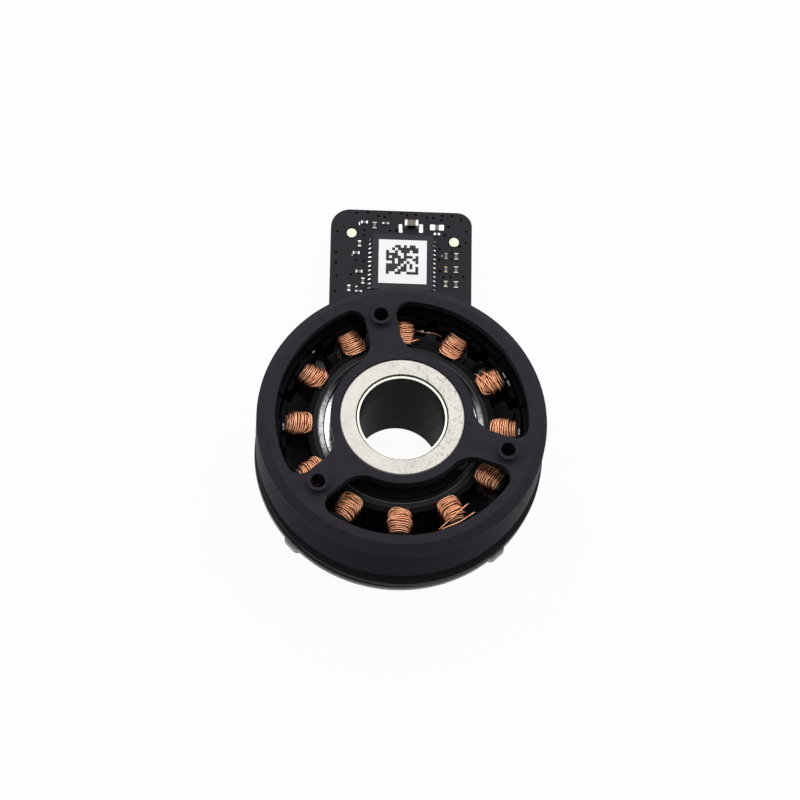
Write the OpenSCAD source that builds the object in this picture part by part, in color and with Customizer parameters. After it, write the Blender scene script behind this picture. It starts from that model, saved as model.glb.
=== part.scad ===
// Hollow shaft gimbal motor, an outrunner. A spoked bell with its magnets turns on two thin ball
// bearings round a wound stator, over a base plate that carries the driver board.
// The origin is on the shaft's axis in the plane of the base plate's underside.
// +Z points to the face of the bell and +Y along the board's tab.

/* [Bell] */
// Outer diameter of the bell
bell_d = 31.4; // [30:0.1:36]
// Clearance between the stator's guards and the underside of the bell's face
face_gap = 1; // [0.8:0.05:2]
// Thickness of the bell's skirt
skirt_t = 0.65; // [0.5:0.05:0.9]
// Thickness of the spoked face
face_t = 1.15; // [0.8:0.05:1.6]
// Thickness of the hub inside the spokes
hub_t = 1.9; // [1.6:0.1:2.2]
// Width of the chamfer round the face, seen from above
chamfer_w = 0.98; // [0.3:0.02:1.2]
// Height of that chamfer
chamfer_h = 0.85; // [0.3:0.05:1]
// Width of the face's rim outside the windows
rim_w = 2; // [1.5:0.1:2.6]
// Width of the hub's ring between the bright flange and the windows
hub_w = 1.02; // [0.8:0.02:1.5]
// Number of spokes
spoke_count = 3; // [2:1:4]
// Width of a spoke at its narrowest
spoke_w = 3.4; // [3:0.1:4]
// Radius of a window's corners at the rim
rim_fillet_r = 1.5; // [0.8:0.1:1.8]
// Radius of a window's corners at the hub
hub_fillet_r = 3; // [1.5:0.1:3.4]
// Distance of a tapped boss's middle inside the windows' outer edge
boss_inset = 1.7; // [1.4:0.1:2.2]
// Outer diameter of a tapped boss
boss_d = 2.3; // [2.1:0.1:2.8]
// Height of a tapped boss over the face
boss_h = 0.7; // [0.3:0.05:1.2]
// Diameter of the tapped hole, before its thread
boss_hole_d = 1.6; // [1.2:0.1:1.7]
// Width of the flare at the foot of a boss
boss_flare_w = 0.25; // [0.1:0.05:0.35]

/* [Rotor magnets] */
// Number of magnets
magnet_count = 14; // [12:2:16]
// Radial thickness of a magnet
magnet_t = 1; // [0.7:0.05:1.3]
// Height of a magnet
magnet_h = 4.2; // [3.4:0.1:4.4]
// Gap between neighbouring magnets
magnet_gap = 0.3; // [0.1:0.05:0.8]
// Radial thickness of the steel flux ring behind the magnets
flux_ring_t = 0.75; // [0.5:0.05:1]
// Height by which the flux ring and the skirt pass the magnets at each end
flux_ring_lip = 0.15; // [0:0.05:0.2]
// Air gap between the magnets and the stator's teeth
air_gap = 0.2; // [0.1:0.02:0.4]

/* [Shaft and tube] */
// Wall of the hollow shaft round the cable tube's free length
shaft_wall = 0.98; // [0.9:0.02:1.05]
// Distance that the bright flange stands out past the shaft
flange_out = 0.73; // [0.5:0.01:1]
// Thickness of the flange
flange_t = 1; // [0.7:0.05:1.3]
// Depth of the flange under the bell's face
flange_sink = 0.05; // [0:0.01:0.2]
// Groove between the flange and the hub round it
flange_groove = 0.08; // [0.04:0.01:0.15]
// Length of the shaft's stub past the lower bearing
shaft_stub = 0.9; // [0.7:0.05:1.2]
// Gap between the cable tube and the shaft's bore round its free length
tube_room = 0.15; // [0.1:0.01:0.2]
// Wall of the cable tube
tube_wall = 0.22; // [0.15:0.01:0.28]
// Depth of the tube's rim under the flange
tube_sink = 0.25; // [0.1:0.05:0.6]
// Length of the tube that stands out under the base
tube_tail = 3; // [1.5:0.1:5]
// Length over which the shaft grips the tube
tube_grip_h = 4; // [2:0.1:6]
// Thickness of the retaining ring
clip_t = 0.4; // [0.3:0.05:0.5]
// Radial width of the retaining ring outside its groove
clip_w = 0.75; // [0.5:0.05:1]
// Depth of the retaining ring's groove
clip_groove = 0.25; // [0.15:0.01:0.3]
// Opening of the retaining ring
clip_opening = 3; // [2:0.1:5]

/* [Bearings] */
// Radial thickness of a bearing, from its bore to its outside
bearing_section = 3; // [2.9:0.05:3.2]
// Width of a bearing
bearing_w = 4; // [3.8:0.05:4.1]
// Diameter of a bearing ball
ball_d = 1.6; // [1.4:0.02:1.65]
// Number of balls in a bearing
ball_count = 18; // [12:1:20]
// Clearance of a ball in its race grooves and cage
ball_clearance = 0.03; // [0.01:0.01:0.05]
// Radial gap between the two races
race_gap = 1.1; // [0.9:0.05:1.2]
// Radial thickness of the bearing cage
cage_t = 0.8; // [0.5:0.05:0.85]
// Height of the bearing cage
cage_h = 2.2; // [2:0.1:2.3]
// Thickness of a bearing shield
shield_t = 0.18; // [0.1:0.02:0.24]
// Depth of a shield under the face of its bearing
shield_sink = 0.1; // [0.05:0.01:0.15]
// Radial width of the step that holds a shield
shield_step = 0.4; // [0.2:0.05:0.45]
// Running gap between a shield and the inner race
shield_gap = 0.12; // [0.08:0.01:0.2]
// Thickness of the spacer rings between the bearings
spacer_t = 0.2; // [0.15:0.05:0.4]

/* [Stator] */
// Height of the laminated core
core_h = 3.3; // [2.8:0.1:3.6]
// Radial thickness of the core's inner ring
yoke_t = 0.6; // [0.5:0.05:0.8]
// Number of teeth and coils
tooth_count = 12; // [9:3:12]
// Width of a tooth's neck
tooth_w = 1.3; // [1.1:0.05:1.5]
// Length of a tooth's neck, from the core's inner ring to its shoe
tooth_l = 2.45; // [2.2:0.05:2.6]
// Radial thickness of a tooth's shoe
shoe_t = 0.5; // [0.4:0.05:0.7]
// Opening between neighbouring shoes
slot_opening = 1.3; // [1:0.05:1.8]
// Thickness of the plastic end plates on the core
insulator_t = 0.3; // [0.2:0.05:0.4]
// Height of an end plate's guards over the core
guard_h = 0.9; // [0.5:0.05:1]
// Radial thickness of a guard
guard_t = 0.3; // [0.2:0.05:0.4]
// Width of a guard
guard_w = 2.4; // [2:0.1:2.8]
// Depth of the core under the rim of the tube that holds the bearings
core_sink = 0.25; // [0.1:0.05:0.5]

/* [Coils] */
// Width of a coil across its tooth
coil_w = 3; // [2.7:0.05:3.1]
// Height of a coil
coil_h = 5.2; // [5:0.05:5.3]
// Radius of a coil's corners
coil_corner_r = 0.7; // [0.6:0.05:1]
// Diameter of the wire
wire_d = 0.21; // [0.2:0.01:0.26]
// Number of turns in a coil's outer layer
turns = 3; // [2:1:3]
// Gap from a coil to the tooth, the yoke and the guard
coil_gap = 0.08; // [0.05:0.01:0.1]

/* [Base] */
// Distance by which the base plate stands out past the outside of the bell
base_out = 0.05; // [-0.8:0.05:0.3]
// Thickness of the base plate
base_t = 0.95; // [0.7:0.05:1.3]
// Wall of the tube that holds the bearings
housing_wall = 0.55; // [0.4:0.05:0.7]
// Height of the ledge under the lower bearing
ledge_h = 0.2; // [0.15:0.01:0.3]
// Radial width of that ledge
ledge_w = 0.6; // [0.4:0.05:0.7]
// Height of the tube's rim over the upper bearing
housing_rim = 0.05; // [0.02:0.01:0.1]
// Number of lugs round the base plate, each over a tapped hole
lug_count = 4; // [3:1:4]
// Width of a lug
lug_w = 2.4; // [2:0.1:3]
// Distance that a lug stands out past the base plate
lug_out = 0.35; // [0.2:0.05:0.8]
// Radius of a lug's corners
lug_corner_r = 0.6; // [0.2:0.05:0.7]
// Distance of the middle of a tapped hole inside the base plate's edge
base_hole_inset = 2.75; // [2.4:0.05:3]
// Diameter of a tapped hole in the base plate, before its thread
base_hole_d = 1.6; // [1.2:0.1:1.7]
// Diameter of the post round a tapped hole
post_d = 3; // [2.6:0.1:3.4]
// Height of a post over the board
post_h = 0.8; // [0.4:0.1:1]

/* [Circuit board] */
// Distance of the board's round edge inside the base plate's edge
board_inset = 0.05; // [-0.3:0.05:0.5]
// Offset of the board's round edge from the shaft's axis
board_x = 0.2; // [-0.3:0.05:0.3]
// Thickness of the board
board_t = 0.8; // [0.6:0.1:1]
// Width of the board's tab
tab_w = 15.9; // [14:0.1:18]
// Length of the tab past the board's round part
tab_l = 13.6; // [12:0.1:18]
// Radius of the tab's left corner
tab_left_corner_r = 2.2; // [1:0.1:2.5]
// Radius of the tab's right corner
tab_right_corner_r = 1.7; // [1:0.1:2.5]
// Clearance of the board round the bearing tube and the posts
board_clearance = 0.15; // [0.05:0.05:0.3]
// Side of the driver chip
chip_w = 6.8; // [6:0.1:7.2]
// Height of the driver chip
chip_h = 0.85; // [0.6:0.05:1]
// Distance from the end of the tab to the middle of the chip
chip_inset = 6.75; // [5.75:0.05:7.5]
// Offset of the chip from the middle of the tab
chip_x = 0.15; // [-1:0.05:1]
// Number of solder pads along each of the chip's two long rows
pads_per_side = 12; // [8:1:12]
// Distance from a row's last solder pad to the chip's corner
pad_row_inset = 0.4; // [0.3:0.05:0.8]
// Length by which a solder pad stands out past the chip
pad_out = 0.45; // [0.3:0.05:0.6]
// Side of the square label on the chip
label_w = 5.4; // [4:0.1:5.8]
// Thickness of the label
label_t = 0.06; // [0.04:0.01:0.1]
// Length of the large capacitor
capacitor_l = 1.6; // [1.2:0.1:2]
// Width and height of the large capacitor
capacitor_w = 0.85; // [0.6:0.05:1]
// Length of a small chip part
passive_l = 0.8; // [0.6:0.05:1]
// Width and height of a small chip part
passive_w = 0.4; // [0.3:0.05:0.5]
// Length of the position sensor
sensor_l = 2.9; // [2.4:0.1:3.2]
// Width of the position sensor
sensor_w = 1.5; // [1.2:0.1:1.7]
// Height of the position sensor
sensor_h = 1; // [0.8:0.1:1.2]
// Diameter of a phase lead
lead_d = 0.45; // [0.3:0.05:0.5]

/* [Hidden] */
// Overrun of a cut past the surface that it opens
overrun = 0.5;
// A fillet's circle is this much larger than the fillet, so it crosses the sides that it joins
fillet_swell = 1.003;
// Turn of the first spoke from +X at rest, and of the first window past it
spoke_angle = 102;
// Turn of the first lug from +X
lug_angle = 44;
// Number of phase leads, in neighbouring slots, and the slot that the first one is in
lead_count = 3;
lead_slot = 1.5;

// Heights of the board, the bearings and the core
board_top = base_t + board_t;
lower_bearing_z = ledge_h;
upper_bearing_z = lower_bearing_z + bearing_w + spacer_t;
bearings_top = upper_bearing_z + bearing_w;
housing_top = bearings_top + housing_rim;
core_top = housing_top - core_sink;
core_z = core_top - core_h;
core_mid = core_z + core_h / 2;

// Heights of the bell
bell_z = core_mid - magnet_h / 2 - flux_ring_lip;
face_under = core_top + guard_h + face_gap;
face_z = face_under + face_t;
hub_under = face_z - hub_t;
flange_z = face_z - flange_sink;
tube_top = flange_z - tube_sink;

// Radii from the bell in to the core
bell_r = bell_d / 2;
flux_r = bell_r - skirt_t;
magnet_r = flux_r - flux_ring_t;
magnet_in_r = magnet_r - magnet_t;
shoe_r = magnet_in_r - air_gap;
shoe_in_r = shoe_r - shoe_t;
yoke_r = shoe_in_r - tooth_l;
housing_r = yoke_r - yoke_t;

// Radii from the bearings in to the tube's bore, and out to the windows
bearing_r = housing_r - housing_wall;
shaft_r = bearing_r - bearing_section;
shaft_bore_r = shaft_r - shaft_wall;
tube_r = shaft_bore_r - tube_room;
tube_bore_r = tube_r - tube_wall;
flange_r = shaft_r + flange_out;
hub_r = flange_r + hub_w;
// The thick hub runs on a little under each spoke
hub_root_r = hub_r + spoke_w / 8;
window_r = bell_r - rim_w;
boss_circle_r = window_r - boss_inset;

// Outlines of the base plate and the board
base_r = bell_r + base_out;
base_circle_r = base_r - base_hole_inset;
board_r = base_r - board_inset;
tab_reach = board_r + tab_l;
chip_y = tab_reach - chip_inset;

// Races and balls
pitch_r = (shaft_r + bearing_r) / 2;
inner_race_r = pitch_r - race_gap / 2;
outer_race_r = pitch_r + race_gap / 2;
groove_r = ball_d / 2 + ball_clearance;
shield_r = outer_race_r + shield_step;
hub_foot_r = inner_race_r - shield_gap;

// Core, end plates and coils
tooth_step = 360 / tooth_count;
guard_in_r = shoe_in_r;
coil_in_r = yoke_r + coil_gap;
coil_l = guard_in_r - coil_gap - coil_in_r;
// Over and under the core, a coil's heads reach in over the core's inner ring
head_in_r = housing_r + coil_gap;
head_l = coil_in_r - head_in_r;
insulator_arm_w = tooth_w + insulator_t;
coil_slot_w = insulator_arm_w + 2 * coil_gap;
coil_slot_h = core_h + 2 * (insulator_t + coil_gap);
wire_r = wire_d / 2;
// Room between the wire and the block that it is wound on, and the size of that block
wire_lift = 0.12 * wire_d;
block_w = coil_w - 2 * (wire_d + wire_lift);
block_h = coil_h - 2 * (wire_d + wire_lift);

// Steps of the wire in each of a turn's four corners, and sides of its tube
corner_steps = 4;
rings_per_turn = 4 * (corner_steps + 1);
wire_sides = 6;

module ring(outer, inner, h)
{
    difference() {
        cylinder(r = outer, h = h, $fn = 96);
        translate([0, 0, -overrun])
            cylinder(r = inner, h = h + 2 * overrun, $fn = 96);
    }
}

// Copies of the children round the axis, at a radius
module round_axis(count, radius, start = 0)
{
    for (i = [0:count - 1])
        rotate([0, 0, start + i * 360 / count])
            translate([radius, 0, 0])
                children();
}

// Plan of the metal left in a window's corner: a wedge between the spoke's middle and the arc
// that it meets, less the circle of the corner's fillet
module corner_left(arc_r, fillet_r, outward)
{
    reach = outward ? arc_r - fillet_r : arc_r + fillet_r;
    side = spoke_w / 2 + fillet_r;
    along = sqrt(reach * reach - side * side);
    turn = atan2(side, along);
    past_arc = outward ? arc_r + fillet_r : arc_r - fillet_r;
    difference() {
        polygon([[along, side], [along, 0], [past_arc, 0], past_arc * [cos(turn), sin(turn)]]);
        translate([along, side])
            circle(r = fillet_r * fillet_swell, $fn = 48);
    }
}

// Plan of the windows between the spokes
module windows_plan()
{
    difference() {
        circle(r = window_r, $fn = 128);
        circle(r = hub_r, $fn = 128);
        for (i = [0:spoke_count - 1])
            rotate(i * 360 / spoke_count) {
                translate([0, -spoke_w / 2])
                    square([window_r + overrun, spoke_w]);
                for (side = [0, 1])
                    mirror([0, side]) {
                        corner_left(window_r, rim_fillet_r, true);
                        corner_left(hub_r, hub_fillet_r, false);
                    }
            }
    }
}

module tapped_boss()
{
    flare_h = boss_flare_w;
    rotate_extrude($fn = 48)
        polygon([
            [0, -face_t / 2],
            [boss_d / 2 + boss_flare_w, -face_t / 2],
            [boss_d / 2 + boss_flare_w, 0],
            [boss_d / 2, flare_h],
            [boss_d / 2, boss_h],
            [0, boss_h]
        ]);
}

module rotor_bell()
{
    color([0.2, 0.19, 0.21])
    difference() {
        union() {
            rotate_extrude($fn = 160)
                polygon([
                    [shaft_r, bearings_top],
                    [hub_foot_r, bearings_top],
                    [hub_foot_r, hub_under],
                    [hub_root_r, hub_under],
                    [hub_root_r, face_under],
                    [flux_r, face_under],
                    [flux_r, bell_z],
                    [bell_r, bell_z],
                    [bell_r, face_z - chamfer_h],
                    [bell_r - chamfer_w, face_z],
                    [flange_r + flange_groove, face_z],
                    [flange_r + flange_groove, flange_z - flange_t],
                    [shaft_r, flange_z - flange_t]
                ]);
            translate([0, 0, face_z])
                round_axis(spoke_count, boss_circle_r, spoke_angle)
                    tapped_boss();
        }
        rotate([0, 0, spoke_angle])
            translate([0, 0, hub_under - overrun])
                linear_extrude(hub_t + boss_h + 2 * overrun)
                    windows_plan();
        translate([0, 0, face_under - overrun])
            round_axis(spoke_count, boss_circle_r, spoke_angle)
                cylinder(d = boss_hole_d, h = face_t + boss_h + 2 * overrun, $fn = 32);
    }
}

module flux_ring()
{
    color([0.42, 0.42, 0.44])
    translate([0, 0, core_mid - magnet_h / 2 - flux_ring_lip])
        ring(flux_r, magnet_r, magnet_h + 2 * flux_ring_lip);
}

module magnet(i)
{
    step = 360 / magnet_count;
    tile = step - 2 * asin(magnet_gap / 2 / magnet_in_r);
    color([0.62, 0.62, 0.64])
    rotate([0, 0, spoke_angle + i * step - tile / 2])
        translate([0, 0, core_mid - magnet_h / 2])
            rotate_extrude(angle = tile, $fn = 128)
                translate([magnet_in_r, 0])
                    square([magnet_t, magnet_h]);
}

module hollow_shaft()
{
    clip_z = lower_bearing_z - clip_t;
    stub_z = lower_bearing_z - shaft_stub;
    grip_top = stub_z + tube_grip_h;
    edge = flange_t / 10;
    color([0.86, 0.85, 0.82])
    rotate_extrude($fn = 128)
        polygon([
            [tube_r, stub_z],
            [shaft_r, stub_z],
            [shaft_r, clip_z],
            [shaft_r - clip_groove, clip_z],
            [shaft_r - clip_groove, lower_bearing_z],
            [shaft_r, lower_bearing_z],
            [shaft_r, flange_z - flange_t],
            [flange_r, flange_z - flange_t],
            [flange_r, flange_z - edge],
            [flange_r - edge, flange_z],
            [shaft_bore_r, flange_z],
            [shaft_bore_r, grip_top],
            [tube_r, grip_top]
        ]);
}

module cable_tube()
{
    color([0.13, 0.12, 0.14])
    translate([0, 0, -tube_tail])
        ring(tube_r, tube_bore_r, tube_tail + tube_top);
}

module retaining_ring()
{
    color([0.55, 0.55, 0.58])
    translate([0, 0, lower_bearing_z - clip_t])
        difference() {
            ring(shaft_r + clip_w, shaft_r - clip_groove, clip_t);
            translate([0, -clip_opening / 2, -overrun])
                cube([shaft_r + clip_w + overrun, clip_opening, clip_t + 2 * overrun]);
        }
}

// Profile of the groove that the balls run in, half way up a bearing
module ball_groove()
{
    translate([0, 0, bearing_w / 2])
        rotate_extrude($fn = 96)
            translate([pitch_r, 0])
                circle(r = groove_r, $fn = 32);
}

module outer_race()
{
    shield_depth = shield_sink + shield_t;
    color([0.75, 0.75, 0.76])
    difference() {
        ring(bearing_r, outer_race_r, bearing_w);
        for (z = [-overrun, bearing_w - shield_depth])
            translate([0, 0, z])
                cylinder(r = shield_r, h = shield_depth + overrun, $fn = 96);
        ball_groove();
    }
}

module inner_race()
{
    color([0.75, 0.75, 0.76])
    difference() {
        ring(inner_race_r, shaft_r, bearing_w);
        ball_groove();
    }
}

// The two shields of a bearing, each in its step of the outer race
module shields()
{
    color([0.93, 0.93, 0.94])
    for (z = [shield_sink, bearing_w - shield_sink - shield_t])
        translate([0, 0, z])
            ring(shield_r, inner_race_r + shield_gap, shield_t);
}

module balls()
{
    color([0.8, 0.8, 0.82])
    translate([0, 0, bearing_w / 2])
        round_axis(ball_count, pitch_r)
            sphere(d = ball_d, $fn = 24);
}

module cage()
{
    color([0.6, 0.5, 0.3])
    difference() {
        translate([0, 0, (bearing_w - cage_h) / 2])
            ring(pitch_r + cage_t / 2, pitch_r - cage_t / 2, cage_h);
        translate([0, 0, bearing_w / 2])
            round_axis(ball_count, inner_race_r)
                rotate([0, 90, 0])
                    cylinder(r = groove_r, h = race_gap, $fn = 32);
    }
}

module outer_spacer()
{
    color([0.7, 0.7, 0.72])
    translate([0, 0, lower_bearing_z + bearing_w])
        ring(bearing_r, outer_race_r, spacer_t);
}

module inner_spacer()
{
    color([0.7, 0.7, 0.72])
    translate([0, 0, lower_bearing_z + bearing_w])
        ring(inner_race_r, shaft_r, spacer_t);
}

module bearing_housing()
{
    color([0.16, 0.16, 0.17])
    difference() {
        cylinder(r = housing_r, h = housing_top, $fn = 128);
        translate([0, 0, ledge_h])
            cylinder(r = bearing_r, h = bearings_top + overrun, $fn = 128);
        translate([0, 0, -overrun])
            cylinder(r = bearing_r - ledge_w, h = ledge_h + 2 * overrun, $fn = 128);
    }
}

// Plan of a lug: a bar out of the plate with its two outer corners rounded
module lug_plan()
{
    reach = base_r + lug_out;
    translate([0, -lug_w / 2])
        square([reach - lug_corner_r, lug_w]);
    translate([0, lug_corner_r - lug_w / 2])
        square([reach, lug_w - 2 * lug_corner_r]);
    for (side = [-1, 1])
        translate([reach - lug_corner_r, side * (lug_w / 2 - lug_corner_r)])
            circle(r = lug_corner_r, $fn = 32);
}

module base_plate()
{
    color([0.62, 0.62, 0.63])
    difference() {
        union() {
            linear_extrude(base_t) {
                circle(r = base_r, $fn = 160);
                for (i = [0:lug_count - 1])
                    rotate(lug_angle + i * 360 / lug_count)
                        lug_plan();
            }
            round_axis(lug_count, base_circle_r, lug_angle)
                cylinder(d = post_d, h = board_top + post_h, $fn = 48);
        }
        translate([0, 0, -overrun])
            cylinder(r = housing_r, h = base_t + 2 * overrun, $fn = 128);
        translate([0, 0, -overrun])
            round_axis(lug_count, base_circle_r, lug_angle)
                cylinder(d = base_hole_d, h = board_top + post_h + 2 * overrun, $fn = 32);
    }
}

// Plan of the stator's teeth, each a neck with a curved shoe
module teeth_plan()
{
    shoe_half = tooth_step / 2 - asin(slot_opening / 2 / shoe_r);
    wedge = shoe_r / cos(shoe_half) * 2;
    for (i = [0:tooth_count - 1])
        rotate(i * tooth_step) {
            translate([housing_r + yoke_t / 2, -tooth_w / 2])
                square([shoe_in_r + shoe_t / 2 - housing_r - yoke_t / 2, tooth_w]);
            intersection() {
                difference() {
                    circle(r = shoe_r, $fn = 160);
                    circle(r = shoe_in_r, $fn = 160);
                }
                polygon([
                    [0, 0],
                    wedge * [cos(shoe_half), -sin(shoe_half)],
                    wedge * [cos(shoe_half), sin(shoe_half)]
                ]);
            }
        }
}

module stator_core()
{
    color([0.3, 0.3, 0.31])
    translate([0, 0, core_z])
        linear_extrude(core_h) {
            difference() {
                circle(r = yoke_r, $fn = 128);
                circle(r = housing_r, $fn = 128);
            }
            teeth_plan();
        }
}

// One end plate of the core. Each tooth has an arm on it, a liner down both its sides to near the
// core's middle, and a guard at its end.
module insulator()
{
    liner_t = (insulator_arm_w - tooth_w) / 2;
    liner_h = core_h / 2 - coil_gap;
    for (i = [0:tooth_count - 1])
        rotate([0, 0, i * tooth_step])
            for (side = [0, 1])
                mirror([0, side, 0])
                    translate([coil_in_r, tooth_w / 2, -liner_h])
                        cube([coil_l, liner_t, liner_h + insulator_t / 2]);
    linear_extrude(insulator_t)
        difference() {
            union() {
                circle(r = yoke_r, $fn = 128);
                for (i = [0:tooth_count - 1])
                    rotate(i * tooth_step)
                        translate([0, -insulator_arm_w / 2])
                            square([guard_in_r + guard_t / 2, insulator_arm_w]);
            }
            circle(r = housing_r, $fn = 128);
        }
    for (i = [0:tooth_count - 1])
        rotate([0, 0, i * tooth_step])
            translate([guard_in_r, -guard_w / 2, 0])
                cube([guard_t, guard_w, guard_h]);
}

module upper_insulator()
{
    color([0.15, 0.15, 0.16])
    translate([0, 0, core_top])
        insulator();
}

module lower_insulator()
{
    color([0.15, 0.15, 0.16])
    translate([0, 0, core_z])
        mirror([0, 0, 1])
            insulator();
}

// Points of a coil's outer layer. A turn follows a rounded oblong round the tooth and steps out
// along it, so that the whole layer is one unbroken wire.
corner_r = coil_corner_r + wire_lift + wire_r;
corner_x = block_w / 2 - coil_corner_r;
corner_z = block_h / 2 - coil_corner_r;
corner_signs = [[1, 1], [-1, 1], [-1, -1], [1, -1]];
corner_run = corner_r * PI / 2;
straights_before = [0, 2 * corner_x, 2 * (corner_x + corner_z), 4 * corner_x + 2 * corner_z];
turn_run = 4 * (corner_run + corner_x + corner_z);

function wire_point(i) =
    let (turn = floor(i / rings_per_turn),
         place = i % rings_per_turn,
         corner = floor(place / (corner_steps + 1)),
         share = (place % (corner_steps + 1)) / corner_steps,
         angle = 90 * (corner + share),
         run = turn * turn_run + straights_before[corner] + (corner + share) * corner_run,
         along = run / (turns * turn_run),
         z = corner_signs[corner][1] * corner_z + corner_r * sin(angle))
    [coil_in_r + wire_r + along * (coil_l - wire_d) - head_l * head_share(z) * (1 - along),
     corner_signs[corner][0] * corner_x + corner_r * cos(angle),
     z];

// The head's share of a wire's reach in, from none beside the tooth to all at the head's top
head_low = coil_slot_h / 2 + wire_r;
head_high = corner_z + corner_r;
function head_share(z) = min(1, max(0, (abs(z) - head_low) / (head_high - head_low)));

wire_path = [for (i = [0:turns * rings_per_turn]) wire_point(i)];

function unit(v) = v / norm(v);
function along(path, i) =
    unit(path[min(i + 1, len(path) - 1)] - path[max(i - 1, 0)]);

// The least distance between two points of the wire that are most of a turn apart or more
wire_steps = rings_per_turn * 3 / 4;
least_step = min([for (i = [0:len(wire_path) - 1])
    for (j = [i + wire_steps:len(wire_path) - 1])
        norm(wire_path[i] - wire_path[j])]);
echo(least_gap_of_a_coils_wire_to_itself = least_step - wire_d);

module wire()
{
    rings = [for (i = [0:len(wire_path) - 1])
        let (t = along(wire_path, i),
             u = unit(cross(t, [1, 0, 0])),
             v = cross(t, u))
        [for (k = [0:wire_sides - 1])
            wire_path[i] + wire_r * (cos(360 * k / wire_sides) * u + sin(360 * k / wire_sides) * v)]];
    points = [for (r = rings) each r];
    last = (len(rings) - 1) * wire_sides;
    sides = [for (i = [0:len(rings) - 2])
        for (k = [0:wire_sides - 1])
            let (a = i * wire_sides + k,
                 b = i * wire_sides + (k + 1) % wire_sides)
            each [[a, b + wire_sides, b], [a, a + wire_sides, b + wire_sides]]];
    caps = [for (k = [1:wire_sides - 2])
        each [[0, k, k + 1], [last, last + k + 1, last + k]]];
    polyhedron(points, concat(sides, caps));
}

// Plan of the block that a coil's outer layer is wound on
module block_plan()
{
    square([block_w, 2 * corner_z], center = true);
    square([2 * corner_x, block_h], center = true);
    for (s = corner_signs)
        translate([s[0] * corner_x, s[1] * corner_z])
            circle(r = coil_corner_r, $fn = 32);
}

module coil(i)
{
    color([0.72, 0.42, 0.26])
    rotate([0, 0, 90 - (i - 1) * tooth_step])
        translate([0, 0, core_mid]) {
            difference() {
                translate([head_in_r, 0, 0])
                    rotate([90, 0, 90])
                        linear_extrude(head_l + coil_l)
                            difference() {
                                block_plan();
                                square([coil_slot_w, coil_slot_h], center = true);
                            }
                translate([head_in_r - overrun, -coil_w / 2, -coil_slot_h / 2])
                    cube([overrun + head_l, coil_w, coil_slot_h]);
            }
            wire();
        }
}

module phase_leads()
{
    color([0.72, 0.42, 0.26])
    for (i = [0:lead_count - 1])
        rotate([0, 0, (lead_slot + i) * tooth_step])
            translate([yoke_r - lead_d / 2, 0, board_top])
                cylinder(d = lead_d, h = core_z - insulator_t - board_top, $fn = 24);
}

// One side of the board's tab, with its rounded corner
module tab_side(width, corner_r)
{
    square([width, tab_reach - corner_r]);
    translate([width - corner_r, tab_reach - corner_r])
        circle(r = corner_r, $fn = 48);
}

module board_plan()
{
    tab_half = tab_w / 2;
    difference() {
        union() {
            translate([board_x, 0])
                circle(r = board_r, $fn = 160);
            translate([tab_left_corner_r - tab_half, 0])
                square([tab_w - tab_left_corner_r - tab_right_corner_r, tab_reach]);
            mirror([1, 0])
                tab_side(tab_half, tab_left_corner_r);
            tab_side(tab_half, tab_right_corner_r);
        }
        circle(r = housing_r + board_clearance, $fn = 128);
        for (i = [0:lug_count - 1])
            rotate(lug_angle + i * 360 / lug_count)
                translate([base_circle_r, 0])
                    circle(d = post_d + 2 * board_clearance, $fn = 48);
    }
}

module circuit_board()
{
    color([0.19, 0.18, 0.2])
    translate([0, 0, base_t])
        linear_extrude(board_t)
            board_plan();
}

// Moves the children to the board's upper side at the middle of the chip
module at_chip()
{
    translate([chip_x, chip_y, board_top])
        children();
}

module driver_chip()
{
    color([0.16, 0.15, 0.17])
    at_chip()
        translate([-chip_w / 2, -chip_w / 2, 0])
            cube([chip_w, chip_w, chip_h]);
}

module chip_pads()
{
    pad_pitch = (chip_w - 2 * pad_row_inset) / (pads_per_side - 1);
    pad_w = pad_pitch / 2;
    pad_h = pad_w / 2;
    color([0.8, 0.8, 0.8])
    at_chip()
        for (side = [0, 1])
            rotate([0, 0, side * 180])
                for (i = [0:pads_per_side - 1])
                    translate([chip_w / 2, (i - (pads_per_side - 1) / 2) * pad_pitch - pad_w / 2, 0])
                        cube([pad_out, pad_w, pad_h]);
}

module chip_label()
{
    color([0.96, 0.96, 0.95])
    at_chip()
        translate([-label_w / 2, -label_w / 2, chip_h])
            cube([label_w, label_w, label_t]);
}

// A chip part: a body with a slightly thicker solder end on each side
module chip_part(length, width, body)
{
    end_share = 0.2;
    body_share = 0.92;
    body_w = width * body_share;
    color(body)
    translate([-length / 2, -body_w / 2, 0])
        cube([length, body_w, body_w]);
    color([0.85, 0.85, 0.85])
    for (side = [0, 1])
        mirror([side, 0, 0])
            translate([length * (1 / 2 - end_share), -width / 2, 0])
                cube([length * end_share, width, width]);
}

// Moves the children to a place above the chip, given as shares of the tab's width and of the
// strip between the chip and the tab's end
module above_chip(across_share, up_share)
{
    strip_y = chip_y + chip_w / 2;
    translate([across_share * tab_w, strip_y + up_share * (tab_reach - strip_y), board_top])
        children();
}

// Moves the children to a place beside the chip, given by its side, and as shares of the strip
// between the solder pads and the tab's edge and of the chip
module beside_chip(side, out_share, along_share)
{
    strip_x = chip_w / 2 + pad_out + side * chip_x;
    translate([side * (strip_x + out_share * (tab_w / 2 - strip_x)), chip_y + along_share * chip_w,
               board_top])
        children();
}

module supply_capacitor()
{
    capacitor_place_shares = [0.069, 0.475];
    above_chip(capacitor_place_shares[0], capacitor_place_shares[1])
        chip_part(capacitor_l, capacitor_w, [0.45, 0.38, 0.32]);
}

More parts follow.
